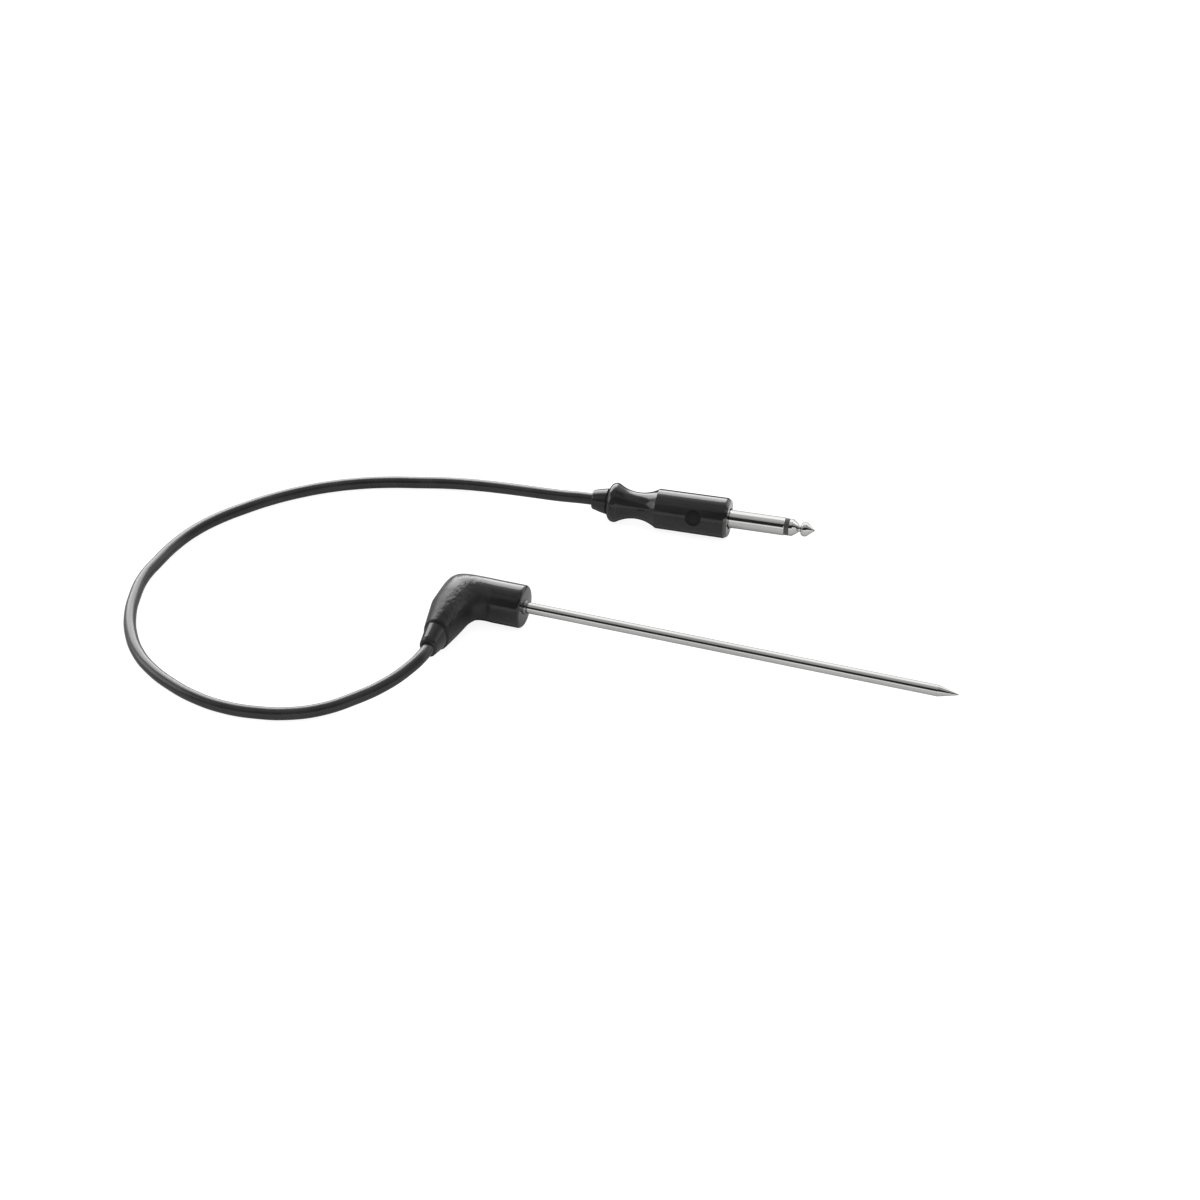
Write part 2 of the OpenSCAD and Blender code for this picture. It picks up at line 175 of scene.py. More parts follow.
VIEW_AZIMUTH = 18.8
VIEW_ELEVATION = 36
VIEW_DISTANCE = 900
LENS = 79.4
LOOK_PAST_CENTRE = Vector((12.35, 20.4))


def towards(azimuth, elevation):
    """A direction seen from the object: azimuth 0 is away from the camera and 90 to its right."""
    turn = math.radians(azimuth - VIEW_AZIMUTH)
    rise = math.radians(elevation)
    return Vector((math.cos(rise) * math.sin(turn), math.cos(rise) * math.cos(turn),
                   math.sin(rise)))


def look_from(obj, place, target):
    """Puts obj at place and points its -Z axis at target."""
    obj.location = place * MM
    obj.rotation_euler = (target - place).to_track_quat("-Z", "Y").to_euler()
    bpy.context.scene.collection.objects.link(obj)


box_centre = (Vector(cad_box[0]) + Vector(cad_box[1])) / 2 / MM
TARGET = Vector((box_centre.x + LOOK_PAST_CENTRE.x, box_centre.y + LOOK_PAST_CENTRE.y, FLOOR_Z))


def make_camera():
    data = bpy.data.cameras.new("camera")
    data.lens = LENS
    data.sensor_width = 36
    data.clip_start = 0.01
    camera = bpy.data.objects.new("camera", data)
    look_from(camera, TARGET + VIEW_DISTANCE * towards(180, VIEW_ELEVATION), TARGET)
    bpy.context.scene.camera = camera


make_camera()


# ---- node materials ----

class Nodes:
    """Short calls for building one material's or world's node tree."""

    def __init__(self, tree):
        self.tree = tree

    def add(self, kind, inputs=None, **settings):
        node = self.tree.nodes.new("ShaderNode" + kind)
        for key, value in settings.items():
            setattr(node, key, value)
        for key, value in (inputs or {}).items():
            if isinstance(value, bpy.types.NodeSocket):
                self.tree.links.new(value, node.inputs[key])
            else:
                node.inputs[key].default_value = value
        return node

    def place(self, scale):
        """Object coordinates stretched by a scale for each axis."""
        coords = self.add("TexCoord")
        return self.add("Mapping", {"Vector": coords.outputs["Object"], "Scale": scale}).outputs[0]

    def noise(self, scale, size, detail=3.0, roughness=0.5):
        return self.add("TexNoise", {"Vector": self.place(scale), "Scale": size,
                                     "Detail": detail, "Roughness": roughness}).outputs[0]

    def spread(self, value, low, high, out_low, out_high):
        return self.add("MapRange", {"Value": value, "From Min": low, "From Max": high,
                                     "To Min": out_low, "To Max": out_high}).outputs[0]

    def maths(self, operation, a, b):
        return self.add("Math", {0: a, 1: b}, operation=operation).outputs[0]

    def blend(self, factor, first, second):
        node = self.add("Mix", {"Factor": factor}, data_type="RGBA")
        for socket, value in ((node.inputs[6], first), (node.inputs[7], second)):
            if isinstance(value, bpy.types.NodeSocket):
                self.tree.links.new(value, socket)
            else:
                socket.default_value = value
        return node.outputs[2]

    def bump(self, height, distance, strength=1.0, normal=None):
        inputs = {"Height": height, "Distance": distance * MM, "Strength": strength}
        if normal is not None:
            inputs["Normal"] = normal
        return self.add("Bump", inputs).outputs[0]


def grey(value, alpha=1.0):
    return (value, value, value, alpha)


def finish_material(name):
    """A new material with its Principled node, as (material, Nodes, principled)."""
    material = bpy.data.materials.new(name)
    material.use_nodes = True
    nodes = Nodes(material.node_tree)
    return material, nodes, material.node_tree.nodes["Principled BSDF"]


def connect(nodes, shader, inputs):
    for key, value in inputs.items():
        if isinstance(value, bpy.types.NodeSocket):
            nodes.tree.links.new(value, shader.inputs[key])
        else:
            shader.inputs[key].default_value = value


PLASTIC_IOR = 1.4
PLASTIC_LEVEL = 0.43
PLASTIC_TONE = 0.011
# Painted shade on the shine: how much specular level the plastic loses at its rims, where it turns
# from the eye
EDGE_SHINE_SHADE = 0.42
END_FACE = (0.55, 0.7)      # how far along +X a face must point to count as an end face
TURNED_AWAY = (0.57, 0.7)   # how far a face must turn from the eye before its shine fades
SKIN_WAVE = 0.02
SKIN_GRAIN = 0.004


def shine(n, top_shine_shade, polish):
    """Specular level and coat: painted shade cuts the shine where the skin turns away; end faces
    shine more.
    """
    normal = n.add("SeparateXYZ", {"Vector": n.add("NewGeometry").outputs["Normal"]})
    end_face = n.spread(normal.outputs[0], *END_FACE, 0, 1)
    facing = n.add("LayerWeight", {"Blend": 0.5}).outputs["Facing"]
    # painted shade: the shine fades towards the rims, by one amount on upward faces and another on
    # downward ones
    fade = n.maths("MULTIPLY", n.spread(facing, *TURNED_AWAY, 0, 1),
                   n.spread(normal.outputs[2], -0.1, 0.1, EDGE_SHINE_SHADE, top_shine_shade))
    fade = n.maths("MULTIPLY", fade, n.maths("SUBTRACT", 1.0, end_face))
    return {"Specular IOR Level": n.maths("SUBTRACT", PLASTIC_LEVEL, fade),
            "Coat Weight": n.maths("MULTIPLY", end_face, polish), "Coat Roughness": 0.08,
            "Coat IOR": 1.8, "IOR": PLASTIC_IOR}


def black_plastic(name, gloss=0.08, polish=1.0):
    """Glossy moulded plastic: slow waves in the skin, faint smears and fine dust-like pits."""
    material, n, shader = finish_material(name)
    waves = n.noise((1, 1, 1), 120.0, 2.0)
    skin = n.noise((1, 1, 1), 900.0, 4.0)
    smears = n.noise((0.35, 1, 1), 160.0, 5.0, 0.6)
    colour = n.blend(n.spread(smears, 0.35, 0.7, 0, 1), grey(PLASTIC_TONE),
                     grey(PLASTIC_TONE * 1.7))
    rough = n.spread(smears, 0.3, 0.75, gloss, gloss + 0.08)
    first = n.bump(waves, SKIN_WAVE)
    second = n.bump(skin, SKIN_GRAIN, 1.0, first)
    connect(n, shader, {"Base Color": colour, "Roughness": rough, "Normal": second,
                        **shine(n, EDGE_SHINE_SHADE, polish)})
    return material


def matte_plastic(name):
    """The same plastic with a fine spark-eroded texture."""
    material, n, shader = finish_material(name)
    grain = n.noise((1, 1, 1), 4000.0, 4.0, 0.7)
    connect(n, shader, {"Base Color": n.blend(grain, grey(0.005), grey(0.010)),
                        "Roughness": n.spread(grain, 0.3, 0.7, 0.45, 0.6),
                        "Normal": n.bump(grain, 0.02), "Specular IOR Level": 0.25,
                        "IOR": PLASTIC_IOR})
    return material


# Areas of the handle's skin, as ramps: the axis, and where the area is absent and where full
FACE_AREA = [("X", -4, -2)]
OUTSIDE_AREA = [("X", -21, -25), ("Y", 2, -8)]
SHADED_SHINE_AREA = [("X", -16, -22), ("Y", 2, -8)]
CAP_AREA = [("X", -13, -19), ("Y", -2, 4)]
CORNER_AREA = [("X", -9, -13), ("X", -21, -17), ("Y", -1, -4)]
FLOWED_AREA = [("X", -14, -19), ("X", -28, -23), ("Y", 6, 0)]
ROUGHER = [(OUTSIDE_AREA, 0.3), (CAP_AREA, 0.1), (CORNER_AREA, 0.3)]
# Painted shade on the shine: these areas lose specular level, dimming the reflections on the cap
# and down the cord arm's outside
SHINE_SHADE = [(SHADED_SHINE_AREA, 0.27), (CAP_AREA, 0.18)]
FACE_POLISH = 0.2
FLOW_DEPTH = 0.26


def elbow_plastic(name):
    """The handle's plastic: satin round the elbow and down the cord arm's outside, where its shine
    is also lowered as painted shade, with the shallow ripples where it flowed round the bend."""
    material, n, shader = finish_material(name)
    coords = n.add("TexCoord").outputs["Object"]
    axes = n.add("SeparateXYZ", {"Vector": coords}).outputs

    def area(ramps):
        level = 1.0
        for axis, absent, full in ramps:
            share = n.spread(axes[axis], absent * MM, full * MM, 0, 1)
            level = n.maths("MULTIPLY", level, share)
        return level

    ripples = n.noise((1, 0.45, 1), 620.0, 3.0, 0.6)
    waves = n.noise((1, 1, 1), 110.0, 2.0)
    skin = n.noise((1, 1, 1), 900.0, 4.0)
    smears = n.noise((1, 0.5, 1), 170.0, 5.0, 0.6)
    colour = n.blend(n.spread(smears, 0.35, 0.7, 0, 1), grey(0.010), grey(0.016))
    rough = n.spread(smears, 0.3, 0.75, 0.08, 0.16)
    for ramps, more in ROUGHER:
        rough = n.maths("ADD", rough, n.maths("MULTIPLY", area(ramps), more))
    inputs = shine(n, 0.0, n.maths("MULTIPLY", area(FACE_AREA), FACE_POLISH))
    level = inputs["Specular IOR Level"]
    # painted shade: the shine is lowered over the cap and the cord arm's outside
    for ramps, less in SHINE_SHADE:
        level = n.maths("SUBTRACT", level, n.maths("MULTIPLY", area(ramps), less))
    first = n.bump(waves, SKIN_WAVE)
    flow = n.maths("MULTIPLY", ripples, area(FLOWED_AREA))
    second = n.bump(flow, FLOW_DEPTH, 1.0, first)
    inputs.update({"Base Color": colour, "Roughness": rough, "Specular IOR Level": level,
                   "Normal": n.bump(skin, SKIN_GRAIN, 1.0, second)})
    connect(n, shader, inputs)
    return material


def cord_jacket(name):
    """Satin extruded jacket: fine grain and slight patches of sheen."""
    material, n, shader = finish_material(name)
    grain = n.noise((1, 1, 1), 2600.0, 3.0)
    patches = n.noise((1, 1, 1), 90.0, 4.0, 0.6)
    colour = n.blend(n.spread(patches, 0.3, 0.7, 0, 1), grey(0.012), grey(0.022))
    rough = n.spread(patches, 0.3, 0.7, 0.2, 0.3)
    connect(n, shader, {"Base Color": colour, "Roughness": rough,
                        "Normal": n.bump(grain, 0.006), "IOR": PLASTIC_IOR})
    return material


def steel(name, tone=0.6, gloss=0.08, along="X", marks=0.0015):
    """Bright metal with fine marks drawn out along the X axis or round it."""
    material, n, shader = finish_material(name)
    stretch = {"X": (0.02, 1, 1), "round": (1, 0.05, 0.05)}[along]
    lines = n.noise(stretch, 3800.0, 2.0)
    clouds = n.noise((0.4, 1, 1), 60.0, 4.0)
    warm = (tone, tone, tone * 0.985, 1)
    dull = (tone * 0.86, tone * 0.86, tone * 0.85, 1)
    colour = n.blend(n.spread(clouds, 0.35, 0.75, 0, 1), warm, dull)
    rough = n.maths("ADD", n.spread(lines, 0.3, 0.7, gloss, gloss + 0.06),
                    n.spread(clouds, 0.4, 0.8, 0, 0.04))
    connect(n, shader, {"Base Color": colour, "Metallic": 1.0, "Roughness": rough,
                        "Specular Tint": grey(0.5), "Normal": n.bump(lines, marks)})
    return material


def plain_finish(name, colour, rough, metallic=0.0, grain=500.0, depth=0.01):
    """A finish for the sealed pieces: two mixed tones, uneven roughness and a fine grain."""
    material, n, shader = finish_material(name)
    mottle = n.noise((1, 1, 1), grain, 4.0, 0.6)
    darker = tuple(c * 0.7 for c in colour) + (1,)
    mixed = n.blend(n.spread(mottle, 0.3, 0.7, 0, 1), colour + (1,), darker)
    connect(n, shader, {"Base Color": mixed, "Metallic": metallic,
                        "Roughness": n.spread(mottle, 0.3, 0.7, rough, rough + 0.12),
                        "Normal": n.bump(mottle, depth)})
    return material


# ---- meshes ----

def mesh_object(name, bm):
    bmesh.ops.recalc_face_normals(bm, faces=bm.faces)
    mesh = bpy.data.meshes.new(name)
    bm.to_mesh(mesh)
    bm.free()
    obj = bpy.data.objects.new(name, mesh)
    bpy.context.scene.collection.objects.link(obj)
    return obj


def smooth(piece):
    """Smooth shading with the creases kept sharp."""
    piece.data.shade_smooth()
    piece.data.set_sharp_from_angle(angle=math.radians(32))


def ring_object(name, bm, material):
    """A piece from a finished bmesh."""
    piece = mesh_object(name, bm)
    smooth(piece)
    piece.data.materials.append(material)
    return piece


def stretch_rings(bm, rings, closed=False):
    """Joins rings of vertices with quads; the list of rings may close on itself."""
    pairs = list(zip(rings, rings[1:]))
    if closed:
        pairs.append((rings[-1], rings[0]))
    for first, second in pairs:
        count = len(first)
        for i in range(count):
            j = (i + 1) % count
            bm.faces.new((first[i], first[j], second[j], second[i]))


def lathe(profile, place, segments=96):
    """A turned bmesh from (station, radius) points; a profile that starts and ends on the axis
    is closed by two poles, and any other is a loop round a bore."""
    bm = bmesh.new()
    solid = profile[0][1] == 0 and profile[-1][1] == 0
    poles = [profile[0][0], profile[-1][0]]
    rings = []
    for station, radius in (profile[1:-1] if solid else profile):
        ring = []
        for i in range(segments):
            a = 2 * math.pi * i / segments
            ring.append(bm.verts.new(
                (station * MM, radius * math.cos(a) * MM, radius * math.sin(a) * MM)))
        rings.append(ring)
    stretch_rings(bm, rings, closed=not solid)
    if solid:
        for pole, ring in zip(poles, (rings[0], rings[-1])):
            centre = bm.verts.new((pole * MM, 0, 0))
            for i in range(segments):
                bm.faces.new((centre, ring[i], ring[(i + 1) % segments]))
    bm.transform(place)
    return bm


def arc(s, r, radius, start, stop, steps):
    """Points on an arc of a turned profile, by angle in degrees."""
    points = []
    for i in range(steps + 1):
        a = math.radians(start + (stop - start) * i / steps)
        points.append((s + radius * math.cos(a), r + radius * math.sin(a)))
    return points


ON_SHAFT = Matrix.Identity(4)
ON_PLUG = (Matrix.Translation(PLUG_ENTRY * MM)
           @ Matrix.Rotation(math.atan2(PLUG_AXIS.y, PLUG_AXIS.x), 4, "Z"))


def subtract(piece, cutters):
    """Cuts closed bmeshes out of a piece, for good."""
    for bm in cutters:
        cutter = mesh_object("cutter", bm)
        cut = piece.modifiers.new("cut", "BOOLEAN")
        cut.operation = "DIFFERENCE"
        cut.solver = "EXACT"
        cut.object = cutter
        evaluated = piece.evaluated_get(bpy.context.evaluated_depsgraph_get())
        result = bpy.data.meshes.new_from_object(evaluated)
        piece.modifiers.clear()
        piece.data = result
        bpy.data.objects.remove(cutter)
    smooth(piece)


def rod(start, stop, radius, place, segments=64):
    """A closed cylinder along a placed X axis."""
    return lathe([(start, 0), (start, radius), (stop, radius), (stop, 0)], place, segments)


# ---- handle ----

def oval_ring(bm, centre, side, half_w, half_h, sides):
    """An oval ring across an arm."""
    ring = []
    for i in range(sides):
        a = 2 * math.pi * i / sides
        u = half_w * math.cos(a)
        ring.append(bm.verts.new(((centre[0] + side[0] * u) * MM,
                                  (centre[1] + side[1] * u) * MM, half_h * math.sin(a) * MM)))
    return ring


def fillet(radius, steps=6):
    """(distance from the end, shrink) pairs round a quarter circle, out to the end."""
    pairs = []
    for i in range(steps + 1):
        a = math.radians(90 * i / steps)
        pairs.append((radius * (1 - math.sin(a)), radius * (1 - math.cos(a))))
    return pairs


def handle_rings(bm, sides=128):
    outer_x = PIVOT.x + ELBOW_BACK + ARM_ROOT_SHIFT + ARM_ROOT_W / 2
    outer_y = HANDLE_R - PIVOT.y
    inner_x = PIVOT.x + ELBOW_BACK + ARM_ROOT_SHIFT - ARM_ROOT_W / 2
    inner_y = -HANDLE_R - PIVOT.y
    arm_run = ARM_LEN + PIVOT.y
    rings = []

    def across_shaft_arm(x, shrink):
        radius = HANDLE_R - shrink
        rings.append(oval_ring(bm, (x, 0), (0, 1), radius, radius, sides))

    def across_cord_arm(t, shrink):
        half_w = (ARM_ROOT_W + (ARM_END_W - ARM_ROOT_W) * t) / 2 - shrink
        half_h = HANDLE_R - ARM_FLATTENING * t * t - shrink
        centre = (-ELBOW_BACK - ARM_ROOT_SHIFT * (1 - t), PIVOT.y - arm_run * t)
        rings.append(oval_ring(bm, centre, (-1, 0), half_w, half_h, sides))

    for back, shrink in fillet(FACE_ROUND)[::-1]:
        across_shaft_arm(FACE_X - back, shrink)
    straight = FACE_X - FACE_ROUND - PIVOT.x
    for i in range(1, 10):
        across_shaft_arm(PIVOT.x + straight * (1 - i / 10), 0)
    steps = 48
    for i in range(steps + 1):
        a = math.radians(90 * i / steps)
        far = ((math.cos(a) / outer_y) ** ELBOW_POWER
               + (math.sin(a) / outer_x) ** ELBOW_POWER) ** (-1 / ELBOW_POWER)
        near = inner_y + (inner_x - inner_y) * i / steps
        middle = (near + far) / 2
        rings.append(oval_ring(
            bm, (PIVOT.x - middle * math.sin(a), PIVOT.y + middle * math.cos(a)),
            (-math.sin(a), math.cos(a)), (far - near) / 2, HANDLE_R, sides))
    for i in range(1, 36):
        across_cord_arm(i / 36 * (1 - ARM_END_ROUND / arm_run), 0)
    for back, shrink in fillet(ARM_END_ROUND):
        across_cord_arm(1 - back / arm_run, shrink)
    return rings


RIPPLE_DEPTH = 0.11
RIPPLE_SIZE = 1.5
FAINTEST_RIPPLE = 0.15


def ramp(value, absent, full):
    """0 up to absent, 1 from full on, and straight between."""
    return min(1, max(0, (value - absent) / (full - absent)))


def ripple(bm):
    """Shallow flow marks pressed into the back of the cord arm."""
    for vert in bm.verts:
        place = vert.co / MM
        behind = ramp(place.x, -14, -19) * max(FAINTEST_RIPPLE, ramp(place.x, -27, -23))
        below = ramp(place.y, 6, 0) * ramp(place.y, 1.5 - ARM_LEN, 3.5 - ARM_LEN)
        if behind * below > 0:
            wave = noise.fractal(Vector((place.x, place.y / 2.2, place.z)) / RIPPLE_SIZE,
                                 0.9, 2.0, 3)
            inwards = Vector((-ELBOW_BACK - place.x, 0, -place.z)).normalized()
            vert.co += inwards * RIPPLE_DEPTH * abs(wave) * behind * below * MM


def close_tube(bm, rings):
    """Walls between the rings and a flat face at each end."""
    stretch_rings(bm, rings)
    bm.faces.new(rings[0])
    bm.faces.new(rings[-1])


CORE_FRONT = -3
CORE_END = -19
CORE_D = 9.4
CORE_ARM_D = 6.6
COLLAR_GROOVE = -2
RELIEF_NECK_D = 5.6
RELIEF_FLANGE_D = 7
RELIEF_FLANGE_LEN = 2.5
ON_CORD_ARM = (Matrix.Translation(Vector((-ELBOW_BACK, 0, 0)) * MM)
               @ Matrix.Rotation(math.radians(90), 4, "Z"))


# The strain relief's flanged root inside the handle, as (place along the arm, radius)
RELIEF_FLANGE = (CORE_END - RELIEF_FLANGE_LEN, RELIEF_FLANGE_D / 2)
RELIEF_INSIDE = [(CORE_END, RELIEF_FLANGE_D / 2), RELIEF_FLANGE,
                 (RELIEF_FLANGE[0], RELIEF_NECK_D / 2), (-ARM_LEN, RELIEF_NECK_D / 2)]


def handle_moulding():
    bm = bmesh.new()
    close_tube(bm, handle_rings(bm))
    ripple(bm)
    piece = ring_object("handle_moulding", bm, elbow_plastic("handle_plastic"))
    subtract(piece, [
        rod(-ELBOW_BACK + 2, CORE_FRONT, CORE_D / 2, ON_SHAFT),
        rod(CORE_END, 0.8, CORE_ARM_D / 2, ON_CORD_ARM),
        rod(CORE_FRONT - 1, 1, SHAFT_R, ON_SHAFT),
        rod(COLLAR_GROOVE, 1, collar_high.z, ON_SHAFT),
        rod(RELIEF_FLANGE[0], CORE_END, RELIEF_FLANGE[1], ON_CORD_ARM),
        rod(-ARM_LEN - 1, CORE_END - 1, RELIEF_NECK_D / 2, ON_CORD_ARM),
    ])
    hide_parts("handle_shell")
    return piece


def handle_relief():
    """The tapered oval sleeve that the cord leaves through."""
    bm = bmesh.new()
    rings = [oval_ring(bm, (-ELBOW_BACK, y), (-1, 0), radius, radius, 72)
             for y, radius in RELIEF_INSIDE]
    length = abs(relief_low.y) - ARM_LEN
    for i in range(9):
        t = i / 8 * (1 - RELIEF_ROUND / length)
        w = RELIEF_ROOT[0] + (RELIEF_END[0] - RELIEF_ROOT[0]) * t
        h = RELIEF_ROOT[1] + (RELIEF_END[1] - RELIEF_ROOT[1]) * t
        rings.append(oval_ring(bm, (-ELBOW_BACK, -ARM_LEN - t * length), (-1, 0),
                               w / 2, h / 2, 72))
    for back, shrink in fillet(RELIEF_ROUND, 5)[1:]:
        rings.append(oval_ring(bm, (-ELBOW_BACK, -ARM_LEN - length + back), (-1, 0),
                               RELIEF_END[0] / 2 - shrink, RELIEF_END[1] / 2 - shrink, 72))
    close_tube(bm, rings)
    plastic = black_plastic("relief_plastic", gloss=0.18, polish=0.0)
    piece = ring_object("handle_relief", bm, plastic)
    subtract(piece, [rod(-ARM_LEN - length - 1, CORE_END + 1, CORD_D / 2 + CORD_GAP,
                         ON_CORD_ARM)])
    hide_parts("handle_strain_relief")
    return piece


# ---- shaft ----

def shaft_pieces():
    bright = steel("shaft_steel", marks=0.0012)
    bore = 1.5
    root = tube_low.x
    groove = 1.7
    tube = ring_object("probe_tube", lathe([
        (root, bore), (root, SHAFT_R), (COLLAR_GROOVE, SHAFT_R), (COLLAR_GROOVE, groove),
        (0, groove), (0, SHAFT_R), (SHAFT_END, SHAFT_R), (SHAFT_END, bore)], ON_SHAFT),
        bright)
    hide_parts("shaft_tube")
    point_len = tip_high.x - SHAFT_END
    point = ring_object("probe_point", lathe(
        [(tip_low.x, 0), (tip_low.x, bore), (SHAFT_END, bore), (SHAFT_END, SHAFT_R - 0.03),
         (SHAFT_END + 0.05, SHAFT_R)]
        + [(SHAFT_END + 0.05 + (point_len - 0.35) * t, SHAFT_R * (1 - t) ** 0.94 + 0.15 * t)
           for t in (i / 8 for i in range(1, 9))]
        + [(tip_high.x, 0)], ON_SHAFT), steel("point_steel", along="round", marks=0.003))
    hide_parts("shaft_tip")
    r = collar_high.z
    # The collar's steel is darker than the shaft's: its darker tone is painted shade that dims the
    # collar's rim beside the handle's face
    collar = ring_object("probe_collar", lathe([
        (COLLAR_GROOVE, groove), (COLLAR_GROOVE, r), (-0.5, r), (-0.25, r - 0.04),
        (-0.08, r - 0.14), (0, r - 0.3), (0, groove)], ON_SHAFT),
        steel("shaded_collar_steel", tone=0.32, gloss=0.2))
    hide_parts("shaft_collar")
    return [tube, point, collar]


# ---- plug ----

FLARE_S = 8.2
FLARE_R = 7.0
LIP_R = 2.2
WAIST_R = 4.75
WAIST_CURVE = 13.1
BODY_ROOT_R = 7.02
FRONT_BEVEL = 1.2
MARK_S = 37.6
MARK_TILT = 20
MARK_D = 5.6
MARK_FLOOR_R = GRIP_R - 0.3
MARK_STEP_W = 0.8
MARK_STEP_DEPTH = 0.1
INSIDE_GRIP_R = 6.2      # further in than the mark, further out than the grip's bore

# ---- the plug's inside: stations and radii of its bores, which the sealed pieces fill ----

GRIP_BACK_R = 4.35
NECK_R = 3
FLANGE_R = 4
FLANGE_S = (CONE_LEN + 2.2, CONE_LEN + 4.2)
CABLE_BORE_R = 3.4
CORE_S = (24.2, 46)
CORE_BORE_R = 5.9
SHOULDER_R = 3.5
FACE_RECESS_R = 3.8
FACE_RECESS = 0.6

# ---- jack ----

SLEEVE_LEN = 19.7
BAND_LEN = 1.6
ROD_R = 1.2


def grip_outline():
    """The grip's outside from the cone to the front face: flare, waist, straight body, bevel."""
    lip = FLARE_R - LIP_R
    curve = WAIST_R + WAIST_CURVE
    curve_s = FLARE_S + math.sqrt((WAIST_CURVE + LIP_R) ** 2 - (curve - lip) ** 2)
    tangent = math.degrees(math.atan2(curve - lip, curve_s - FLARE_S))
    body_s = curve_s + math.sqrt(WAIST_CURVE ** 2 - (curve - BODY_ROOT_R) ** 2)
    body = math.degrees(math.atan2(curve - BODY_ROOT_R, body_s - curve_s))
    points = arc(FLARE_S, lip, LIP_R, 165, tangent, 24)
    points += arc(curve_s, curve, WAIST_CURVE, 180 + tangent, 360 - body, 40)
    straight = GRIP_FRONT - FRONT_BEVEL
    points += [(body_s + (straight - body_s) * t, BODY_ROOT_R + (GRIP_R - BODY_ROOT_R) * t)
               for t in (0.02, 0.3, 0.6, 0.9)]
    points += arc(straight - 0.3, GRIP_R - 0.6, 0.6, 88, 50, 4)
    points += arc(GRIP_FRONT - 0.5, GRIP_R - FRONT_BEVEL + 0.1, 0.5, 45, 0, 4)
    return points


def mark_cutter(mark, diameter, floor_r):
    """A round recess's shape, with a floor that follows the grip's curve."""
    cutter = mesh_object("mark_cutter", rod(GRIP_R - 2, GRIP_R + 2, diameter / 2, mark, 72))
    subtract(cutter, [rod(0, GRIP_FRONT, floor_r, ON_PLUG, 128)])
    bm = bmesh.new()
    bm.from_mesh(cutter.data)
    bpy.data.objects.remove(cutter)
    return bm


def plug_grip():
    recess = GRIP_FRONT - FACE_RECESS
    outline = [(CONE_LEN, NECK_R), (CONE_LEN, GRIP_BACK_R)] + grip_outline() + [
        (GRIP_FRONT, FACE_RECESS_R), (recess, FACE_RECESS_R), (recess, SHOULDER_R),
        (CORE_S[1], SHOULDER_R), (CORE_S[1], CORE_BORE_R), (CORE_S[0], CORE_BORE_R),
        (CORE_S[0], CABLE_BORE_R), (FLANGE_S[1], CABLE_BORE_R), (FLANGE_S[1], FLANGE_R),
        (FLANGE_S[0], FLANGE_R), (FLANGE_S[0], NECK_R)]
    piece = ring_object("grip_moulding", lathe(outline, ON_PLUG, 128),
                        black_plastic("grip_plastic"))
    mark = (ON_PLUG @ Matrix.Rotation(math.radians(90 - MARK_TILT), 4, "X")
            @ Matrix.Translation(Vector((MARK_S, 0, 0)) * MM)
            @ Matrix.Rotation(math.radians(-90), 4, "Y"))
    subtract(piece, [mark_cutter(mark, MARK_D, MARK_FLOOR_R),
                     mark_cutter(mark, MARK_D - 2 * MARK_STEP_W, MARK_FLOOR_R - MARK_STEP_DEPTH)])
    piece.data.materials.append(matte_plastic("mark_plastic"))
    to_mark = mark.inverted()
    for face in piece.data.polygons:
        place = to_mark @ face.center / MM
        if place.x > INSIDE_GRIP_R and math.hypot(place.y, place.z) < MARK_D / 2:
            face.material_index = 1
    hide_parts("plug_grip")
    return piece


def plug_cone():
    small, large = 3.5, 4.6
    bore = CORD_D / 2 + CORD_GAP
    piece = ring_object("grip_cone", lathe(
        [(0, bore), (0, small - 0.8)] + arc(0.6, small - 0.7, 0.66, 170, 100, 6)
        + [(CONE_LEN * 0.5, (small + large) / 2 + 0.02), (CONE_LEN, large), (CONE_LEN, NECK_R),
           (FLANGE_S[0], NECK_R), (FLANGE_S[0], FLANGE_R), (FLANGE_S[1], FLANGE_R),
           (FLANGE_S[1], bore)], ON_PLUG),
        black_plastic("cone_plastic", gloss=0.14))
    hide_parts("plug_strain_relief")
    return piece


def jack_pieces():
    plated = steel("nickel", tone=0.64, gloss=0.07, marks=0.0008)
    root, root_r, liner_r = 33, 4.5, 2.1
    sleeve_end = GRIP_FRONT + SLEEVE_LEN
    ring_end = sleeve_end + BAND_LEN
    recess = GRIP_FRONT - FACE_RECESS
    r = jack_mount["dims"]["r_mm"]
    shank = ring_object("jack_shank", lathe([
        (root, liner_r), (root, root_r), (CORE_S[1], root_r), (CORE_S[1], SHOULDER_R),
        (recess, SHOULDER_R), (recess, r), (sleeve_end - 0.12, r), (sleeve_end, r - 0.12),
        (sleeve_end, liner_r)], ON_PLUG), plated)
    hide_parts("jack_sleeve")
    dark = plain_finish("ring_plastic", (0.045, 0.045, 0.047), 0.3, grain=1500.0, depth=0.004)
    ring = ring_object("jack_band", lathe([
        (sleeve_end, ROD_R), (sleeve_end, 2.95), (sleeve_end + 0.1, 3), (ring_end - 0.1, 3),
        (ring_end, 2.95), (ring_end, ROD_R)], ON_PLUG), dark)
    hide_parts("jack_insulator_ring")
    tip = ring_object("jack_point", lathe(
        [(CORE_S[0], 0), (CORE_S[0], ROD_R), (ring_end, ROD_R), (ring_end, 2.9),
         (ring_end + 0.12, 3),
         (ring_end + 1.05, 3)] + arc(ring_end + 1.1, 2.7, 0.3, 80, 35, 4)
        + [(ring_end + 3.1, 1.6)] + arc(ring_end + 3.7, 1.8, 0.6, 215, 310, 10)
        + arc(ring_end + 5.5, 0.9, 1.65, 140, 55, 18)
        + [(ring_end + 8.4, 0.62)] + arc(ring_end + 8.46, 0.25, 0.42, 55, 10, 4)
        + [(ring_end + 8.9, 0)], ON_PLUG), plated)
    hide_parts("jack_tip")
    return [shank, ring, tip]


# ---- cord ----

